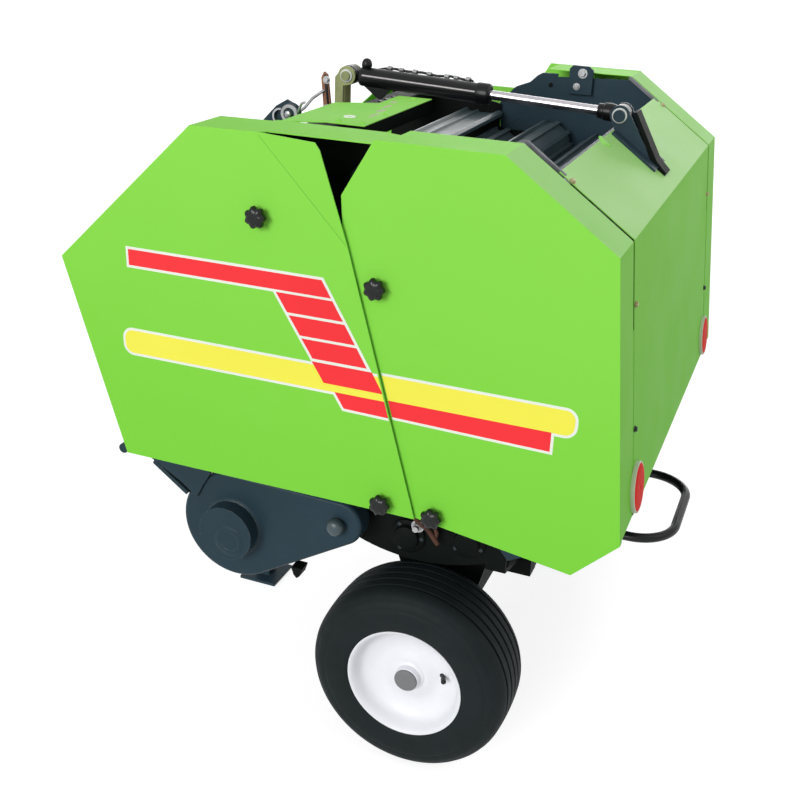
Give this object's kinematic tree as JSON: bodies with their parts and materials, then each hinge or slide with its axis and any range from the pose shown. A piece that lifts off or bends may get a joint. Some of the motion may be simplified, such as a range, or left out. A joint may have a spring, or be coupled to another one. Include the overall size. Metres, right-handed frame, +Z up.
{
  "type": "mini round hay baler",
  "caption": "Small tractor-drawn round hay baler with ribbed rollers, lifting tailgate, top cylinder, pickup reel and two wheels.",
  "frame": {"origin": "centre of the whole machine's footprint box, at floor level", "axes": "+X forward to the tractor, +Y to the machine's left, +Z up"},
  "size_m": [1.215, 1.17, 1.326],
  "materials": {
    "green_paint": "glossy sprayed sheet steel",
    "black_plastic": "moulded black knobs",
    "tyre": "ribbed implement tread",
    "white_paint": "white enamel",
    "zinc": "dull zinc",
    "black_paint": "black enamel",
    "chrome": "polished",
    "rusty_steel": "rust-brown flat bar",
    "red_lens": "moulded reflector",
    "cast_iron": "painted casting",
    "bare_steel": "machined",
    "slate_steel": "dark painted steel",
    "slate_paint": "dark slate enamel"
  },
  "bodies": {
    "frame": {"axle": "slate_paint", "chamber_plate_left": "slate_paint", "chamber_plate_right": "slate_paint", "chassis": "slate_paint", "cylinder_mount": "slate_paint", "frame_beams": "slate_paint", "front_cover_knobs": "black_plastic", "front_cover_left": "green_paint", "front_cover_posts": "slate_paint", "front_cover_right": "green_paint", "front_rollers": "slate_steel", "gearbox": "cast_iron", "hand_lever": "rusty_steel", "headstock": "slate_paint", "hitch_frame": "slate_paint", "hood": "green_paint", "input_shaft": "bare_steel", "plate_hangers": "slate_paint", "rear_hoop": "black_paint", "stand_tube": "slate_paint", "twine_guide": "slate_paint"},
    "tailgate": {"tailgate_plate_left": "slate_paint", "tailgate_plate_right": "slate_paint", "rear_cover_left": "green_paint", "rear_cover_right": "green_paint", "rear_cover_posts": "slate_paint", "rear_cover_knobs": "black_plastic", "tailgate_rollers": "slate_steel", "tailgate_sheet": "green_paint", "tailgate_beams": "slate_paint", "rod_bracket": "slate_paint", "reflectors": "red_lens"},
    "cylinder_barrel": {"cylinder_barrel": "black_paint"},
    "cylinder_rod": {"cylinder_rod": "chrome"},
    "wheel_left": {"tyre_left": "tyre", "rim_left": "white_paint", "hub_left": "zinc"},
    "wheel_right": {"tyre_right": "tyre", "rim_right": "white_paint", "hub_right": "zinc"},
    "pickup": {"pickup_case_left": "slate_paint", "pickup_case_right": "slate_paint", "pickup_arms": "slate_paint", "pickup_bands": "slate_paint"},
    "pickup_reel": {"pickup_reel": "slate_steel"},
    "stand": {"stand_leg": "slate_paint"}
  },
  "joints": [
    {"name": "tailgate_lift", "type": "hinge", "parent": "frame", "child": "tailgate", "pos_m": [-0.0125, 0, 1.082], "axis": [0, 1, 0], "range_deg": [0, 50]},
    {"name": "cylinder_tilt", "type": "hinge", "parent": "frame", "child": "cylinder_barrel", "pos_m": [0.2025, 0, 1.29], "axis": [0, 1, 0], "range_deg": [0, 34]},
    {"name": "cylinder_stroke", "type": "slide", "parent": "cylinder_barrel", "child": "cylinder_rod", "axis": [-0.999, 0, -0.0452], "range_m": [-0.218, 0]},
    {"name": "wheel_left_spin", "type": "hinge", "parent": "frame", "child": "wheel_left", "pos_m": [-0.1645, 0.4435, 0.208], "axis": [0, 1, 0], "continuous": true},
    {"name": "wheel_right_spin", "type": "hinge", "parent": "frame", "child": "wheel_right", "pos_m": [-0.1645, -0.4435, 0.208], "axis": [0, 1, 0], "continuous": true},
    {"name": "pickup_lift", "type": "hinge", "parent": "frame", "child": "pickup", "pos_m": [-0.00796, 0, 0.5232], "axis": [0, -1, 0], "range_deg": [0, 12]},
    {"name": "pickup_reel_spin", "type": "hinge", "parent": "pickup", "child": "pickup_reel", "pos_m": [0.2225, 0, 0.462], "axis": [0, 1, 0], "continuous": true},
    {"name": "stand_slide", "type": "slide", "parent": "frame", "child": "stand", "axis": [0, 0, 1], "range_m": [0, 0.22]}
  ],
  "couplings": [
    {"joint": "cylinder_tilt", "follows": "tailgate_lift", "ratio": 0.65245},
    {"joint": "cylinder_stroke", "follows": "tailgate_lift", "m_per_rad": -0.24153}
  ]
}
